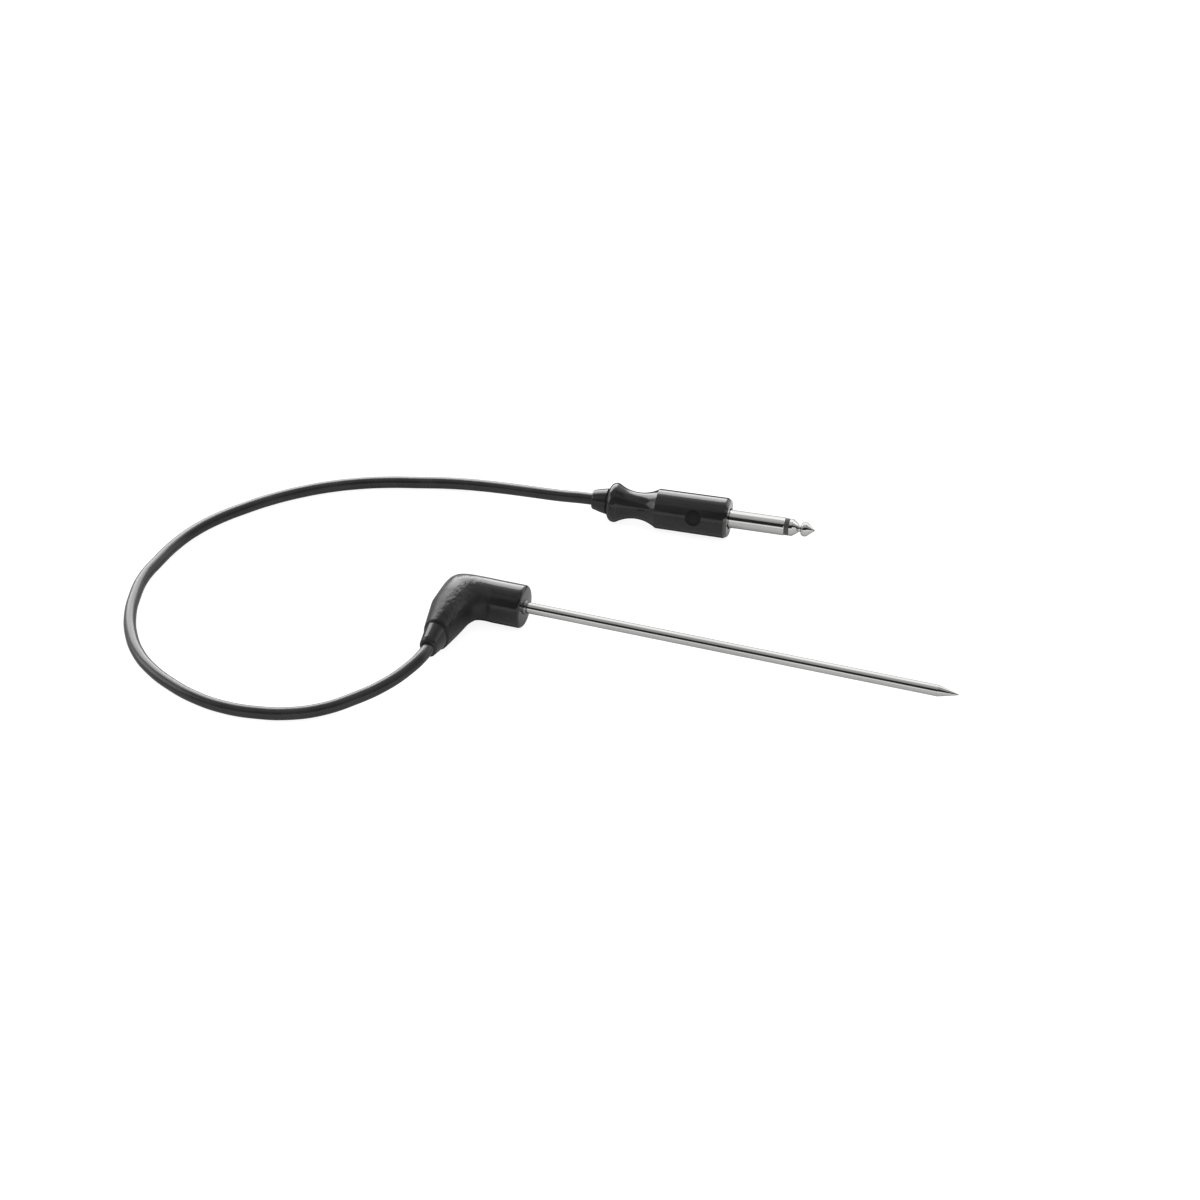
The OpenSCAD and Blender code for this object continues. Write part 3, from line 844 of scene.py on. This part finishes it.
def cord_curve(material):
    curve = bpy.data.curves.new("probe_cord", "CURVE")
    curve.dimensions = "3D"
    curve.bevel_depth = CORD_D / 2 * MM
    curve.bevel_resolution = 10
    curve.use_fill_caps = True
    curve.resolution_u = 10
    spline = curve.splines.new("BEZIER")
    spline.bezier_points.add(len(CORD_ROUTE) - 1)
    for point, place in zip(spline.bezier_points, CORD_ROUTE):
        point.co = Vector(place) * MM
        point.handle_left_type = "AUTO"
        point.handle_right_type = "AUTO"
    curve.materials.append(material)
    cord = bpy.data.objects.new("probe_cord", curve)
    bpy.context.scene.collection.objects.link(cord)
    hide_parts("cord")
    return cord


# ---- the sealed pieces keep their CAD shape ----

def dress_inner_nodes():
    steel_ring = plain_finish("crimp_steel", (0.55, 0.55, 0.54), 0.3, 1.0, 900.0, 0.006)
    core = plain_finish("core_plastic", (0.05, 0.055, 0.055), 0.45)
    brass = plain_finish("tinned_brass", (0.7, 0.52, 0.25), 0.28, 1.0, 700.0, 0.005)
    red = plain_finish("wire_red", (0.5, 0.04, 0.03), 0.4, 0.0, 1200.0, 0.005)
    cream = plain_finish("cream_plastic", (0.7, 0.66, 0.55), 0.4)
    dark = plain_finish("dark_insulator", (0.04, 0.04, 0.042), 0.35, 0.0, 1500.0, 0.004)
    finishes = {
        "thermistor_bead": plain_finish("bead_glass", (0.3, 0.13, 0.05), 0.12),
        "tip_potting": plain_finish("cast_resin", (0.08, 0.08, 0.08), 0.5),
        "lead_sleeve": plain_finish("woven_sleeve", (0.6, 0.55, 0.36), 0.7, 0.0, 2500.0, 0.04),
        "sensor_leads": cream,
        "tube_anchor": steel_ring,
        "handle_core": core,
        "splice_barrels": brass,
        "splice_sleeves": dark,
        "handle_conductors": red,
        "handle_cord_clamp": steel_ring,
        "plug_core": core,
        "plug_cord_clamp": steel_ring,
        "plug_conductors": red,
        "jack_insulator_tube": cream,
        "jack_rear_washer": dark,
        "jack_sleeve_lug": brass,
        "jack_tip_lug": brass,
        "solder_joints": plain_finish("solder", (0.6, 0.6, 0.62), 0.35, 1.0, 600.0, 0.02),
    }
    for node, finish in finishes.items():
        slots = frame["nodes"][node].data.materials
        slots.clear()
        slots.append(finish)


# ---- floor, lights and world ----

FLOOR_SIZE = 6000
FLOOR_GLOW = 0.86        # light from below through the paper, which thins the shadows
MIRRORED_FLOOR = 0.62    # the floor's tone in shiny surfaces
DOME_TONE = 1.14         # the world's tone for the eye and for soft shading


def floor():
    bm = bmesh.new()
    bmesh.ops.create_grid(bm, x_segments=8, y_segments=8, size=FLOOR_SIZE / 2 * MM)
    mesh = bpy.data.meshes.new("floor")
    bm.to_mesh(mesh)
    bm.free()
    plane = bpy.data.objects.new("floor", mesh)
    plane.location = (0, 0, (FLOOR_Z - 0.02) * MM)
    bpy.context.scene.collection.objects.link(plane)
    material, n, shader = finish_material("floor_paper")
    grain = n.noise((1, 1, 1), 300.0, 3.0)
    mirrored = n.add("LightPath").outputs["Is Glossy Ray"]
    paper = n.blend(grain, grey(0.29), grey(0.31))
    connect(n, shader, {
        "Base Color": n.blend(mirrored, paper, grey(MIRRORED_FLOOR)), "Roughness": 0.9,
        "Normal": n.bump(grain, 0.01), "Specular IOR Level": 0.1,
        "Emission Color": grey(FLOOR_GLOW),
        "Emission Strength": n.maths("SUBTRACT", 1.0, mirrored)})
    mesh.materials.append(material)


def soft_edges(data, across, upwards):
    """Fades a rectangular light's face towards its edges, over these parts of its size."""
    data.use_nodes = True
    n = Nodes(data.node_tree)
    place = n.add("SeparateXYZ", {"Vector": n.add("NewGeometry").outputs["Parametric"]})
    level = 1.0
    for axis, edge in ((0, across), (1, upwards)):
        near = n.maths("MINIMUM", place.outputs[axis],
                       n.maths("SUBTRACT", 1.0, place.outputs[axis]))
        fade = n.add("MapRange", {"Value": near, "From Max": edge}, interpolation_type="SMOOTHSTEP")
        level = n.maths("MULTIPLY", level, fade.outputs[0])
    emission = data.node_tree.nodes["Emission"]
    data.node_tree.links.new(level, emission.inputs["Strength"])


def softbox(name, direction, distance, size, radiance, diffuse):
    """A rectangular light pointed at the object, from an (azimuth, elevation) and of a (width,
    height), with a face of the given radiance."""
    data = bpy.data.lights.new(name, "AREA")
    data.shape = "RECTANGLE"
    data.size = size[0] * MM
    data.size_y = size[1] * MM
    data.energy = radiance * math.pi * size[0] * size[1] * MM * MM
    lamp = bpy.data.objects.new(name, data)
    look_from(lamp, TARGET + distance * towards(*direction), TARGET)
    lamp.visible_diffuse = diffuse
    lamp.visible_camera = False
    return lamp


def light_only(lamp, lit):
    """Keeps a light to these pieces, so that bright metal mirrors the tent alone."""
    group = bpy.data.collections.new(lamp.name + "_lit")
    for piece in lit:
        group.objects.link(piece)
    lamp.light_linking.receiver_collection = group


# Tone of the tent that shiny surfaces mirror, by degrees above the horizon on the camera's
# side: 90 is overhead and 180 is the horizon behind the object
TENT = [(-180, 1.0), (2, 1.2), (15, 1.15), (21, 0.02), (59, 0.02), (66, 0.42), (76, 0.54),
        (86, 0.42), (94, 0.26), (101, 0.26), (109, 0.45), (117, 0.9), (126, 1.5), (165, 1.6)]


def studio_world():
    """Even white for the eye and for soft shading; a tent with a dark gap for reflections."""
    world = bpy.data.worlds.new("studio")
    world.use_nodes = True
    bpy.context.scene.world = world
    n = Nodes(world.node_tree)
    direction = n.add("TexCoord").outputs["Generated"]
    front = towards(180, 0)
    along = n.add("VectorMath", {0: direction, 1: front}, operation="DOT_PRODUCT").outputs["Value"]
    height = n.add("SeparateXYZ", {"Vector": direction}).outputs["Z"]
    angle = n.add("Math", {0: height, 1: along}, operation="ARCTAN2").outputs[0]
    ramp = n.add("ValToRGB", {"Fac": n.spread(angle, -math.pi, math.pi, 0, 1)})
    first, last = ramp.color_ramp.elements
    first.color = last.color = grey(TENT[0][1])
    for degrees, tone in TENT[1:]:
        ramp.color_ramp.elements.new((degrees + 180) / 360).color = grey(tone)
    path = n.add("LightPath")
    colour = n.blend(path.outputs["Is Glossy Ray"], grey(DOME_TONE), ramp.outputs[0])
    background = world.node_tree.nodes["Background"]
    world.node_tree.links.new(colour, background.inputs["Color"])
    background.inputs["Strength"].default_value = 1.0


def studio(plastics):
    floor()
    studio_world()
    back = softbox("back_softbox", (-15, 29), 1000, (1500, 800), 7.0, False)
    soft_edges(back.data, 0.25, 0.06)
    light_only(back, plastics)
    left = softbox("left_softbox", (-85, 24), 1000, (700, 700), 2.5, False)
    soft_edges(left.data, 0.3, 0.2)
    light_only(left, plastics)
    softbox("top_fill", (20, 75), 1200, (900, 900), 0.35, True)
    view = bpy.context.scene.view_settings
    view.view_transform = "Standard"
    view.look = "None"


# ---- the whole object ----

cord_piece = cord_curve(cord_jacket("cord_jacket"))
handle_pieces = [handle_moulding(), handle_relief()]
grip_pieces = [plug_grip(), plug_cone()]
plug_pieces = grip_pieces + jack_pieces()
for piece in [cord_piece] + handle_pieces + shaft_pieces() + plug_pieces:
    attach(piece, BODY)
dress_inner_nodes()
studio([cord_piece] + handle_pieces + grip_pieces)
